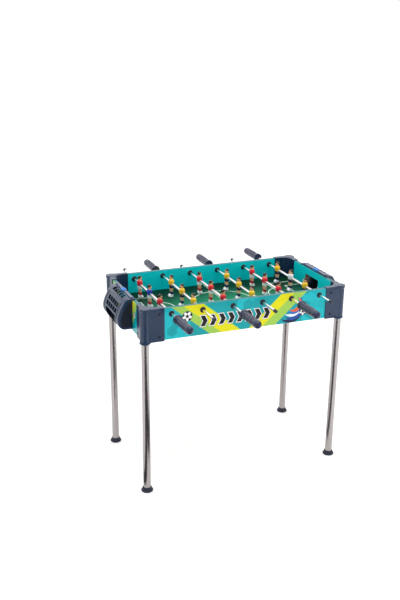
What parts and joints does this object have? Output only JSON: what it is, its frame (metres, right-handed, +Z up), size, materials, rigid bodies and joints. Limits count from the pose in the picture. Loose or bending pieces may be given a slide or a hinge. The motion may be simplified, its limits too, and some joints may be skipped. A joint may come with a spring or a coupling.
{
  "type": "foosball table",
  "caption": "Children's foosball table on tubular legs, with player rods that slide and turn, ball baskets behind the goals, and score sliders.",
  "frame": {"origin": "on the floor, under the middle of the table", "axes": "+X along the table's long side, +Y across it, +Z up"},
  "size_m": [0.772, 0.746, 0.6209],
  "materials": {
    "navy_plastic": "fine moulded texture",
    "printed_board": "satin printed laminate",
    "pitch_print": "satin printed laminate",
    "chromed_tube": "polished",
    "dark_rubber": "matte",
    "rail_plastic": "satin",
    "light_blue_plastic": "gloss",
    "red_kit": "painted",
    "yellow_kit": "painted",
    "blue_kit": "painted",
    "white_kit": "painted"
  },
  "bodies": {
    "frame": {"pitch_board": "pitch_print", "side_panel_front": "printed_board", "side_panel_back": "printed_board", "end_panel_left": "printed_board", "end_panel_right": "printed_board", "corner_bracket_front_left": "navy_plastic", "leg_front_left": "chromed_tube", "foot_front_left": "dark_rubber", "corner_bracket_front_right": "navy_plastic", "leg_front_right": "chromed_tube", "foot_front_right": "dark_rubber", "corner_bracket_back_left": "navy_plastic", "leg_back_left": "chromed_tube", "foot_back_left": "dark_rubber", "corner_bracket_back_right": "navy_plastic", "leg_back_right": "chromed_tube", "foot_back_right": "dark_rubber", "goal_basket_left": "navy_plastic", "score_rail_left": "rail_plastic", "goal_basket_right": "navy_plastic", "score_rail_right": "rail_plastic"},
    "rod_1_carriage": {"rod_end_cap_1": "dark_rubber"},
    "rod_1_turning": {"rod_1": "chromed_tube", "handle_1": "navy_plastic", "player_1_front": "red_kit", "player_1_middle": "blue_kit", "player_1_back": "red_kit"},
    "rod_2_carriage": {"rod_end_cap_2": "dark_rubber"},
    "rod_2_turning": {"rod_2": "chromed_tube", "handle_2": "navy_plastic", "player_2_front": "yellow_kit", "player_2_middle": "yellow_kit", "player_2_back": "yellow_kit"},
    "rod_3_carriage": {"rod_end_cap_3": "dark_rubber"},
    "rod_3_turning": {"rod_3": "chromed_tube", "handle_3": "navy_plastic", "player_3_front": "red_kit", "player_3_middle": "red_kit", "player_3_back": "red_kit"},
    "rod_4_carriage": {"rod_end_cap_4": "dark_rubber"},
    "rod_4_turning": {"rod_4": "chromed_tube", "handle_4": "navy_plastic", "player_4_front": "yellow_kit", "player_4_middle": "yellow_kit", "player_4_back": "yellow_kit"},
    "rod_5_carriage": {"rod_end_cap_5": "dark_rubber"},
    "rod_5_turning": {"rod_5": "chromed_tube", "handle_5": "navy_plastic", "player_5_front": "red_kit", "player_5_middle": "red_kit", "player_5_back": "red_kit"},
    "rod_6_carriage": {"rod_end_cap_6": "dark_rubber"},
    "rod_6_turning": {"rod_6": "chromed_tube", "handle_6": "navy_plastic", "player_6_front": "yellow_kit", "player_6_middle": "white_kit", "player_6_back": "yellow_kit"},
    "score_slider_left": {"score_slider_left": "light_blue_plastic"},
    "score_slider_right": {"score_slider_right": "light_blue_plastic"}
  },
  "joints": [
    {"name": "rod_1_slide", "type": "slide", "parent": "frame", "child": "rod_1_carriage", "axis": [0, 1, 0], "range_m": [-0.074, 0.04]},
    {"name": "rod_1_spin", "type": "hinge", "parent": "rod_1_carriage", "child": "rod_1_turning", "pos_m": [-0.25, 0, 0.593], "axis": [0, 1, 0], "continuous": true},
    {"name": "rod_2_slide", "type": "slide", "parent": "frame", "child": "rod_2_carriage", "axis": [0, 1, 0], "range_m": [-0.047, 0.067]},
    {"name": "rod_2_spin", "type": "hinge", "parent": "rod_2_carriage", "child": "rod_2_turning", "pos_m": [-0.15, 0, 0.593], "axis": [0, 1, 0], "continuous": true},
    {"name": "rod_3_slide", "type": "slide", "parent": "frame", "child": "rod_3_carriage", "axis": [0, 1, 0], "range_m": [-0.048, 0.066]},
    {"name": "rod_3_spin", "type": "hinge", "parent": "rod_3_carriage", "child": "rod_3_turning", "pos_m": [-0.05, 0, 0.593], "axis": [0, 1, 0], "continuous": true},
    {"name": "rod_4_slide", "type": "slide", "parent": "frame", "child": "rod_4_carriage", "axis": [0, 1, 0], "range_m": [-0.049, 0.065]},
    {"name": "rod_4_spin", "type": "hinge", "parent": "rod_4_carriage", "child": "rod_4_turning", "pos_m": [0.05, 0, 0.593], "axis": [0, 1, 0], "continuous": true},
    {"name": "rod_5_slide", "type": "slide", "parent": "frame", "child": "rod_5_carriage", "axis": [0, 1, 0], "range_m": [-0.061, 0.053]},
    {"name": "rod_5_spin", "type": "hinge", "parent": "rod_5_carriage", "child": "rod_5_turning", "pos_m": [0.15, 0, 0.593], "axis": [0, 1, 0], "continuous": true},
    {"name": "rod_6_slide", "type": "slide", "parent": "frame", "child": "rod_6_carriage", "axis": [0, 1, 0], "range_m": [-0.066, 0.048]},
    {"name": "rod_6_spin", "type": "hinge", "parent": "rod_6_carriage", "child": "rod_6_turning", "pos_m": [0.25, 0, 0.593], "axis": [0, 1, 0], "continuous": true},
    {"name": "score_left_slide", "type": "slide", "parent": "frame", "child": "score_slider_left", "axis": [0, 1, 0], "range_m": [-0.0645, 0.0445]},
    {"name": "score_right_slide", "type": "slide", "parent": "frame", "child": "score_slider_right", "axis": [0, 1, 0], "range_m": [-0.0445, 0.0645]}
  ]
}
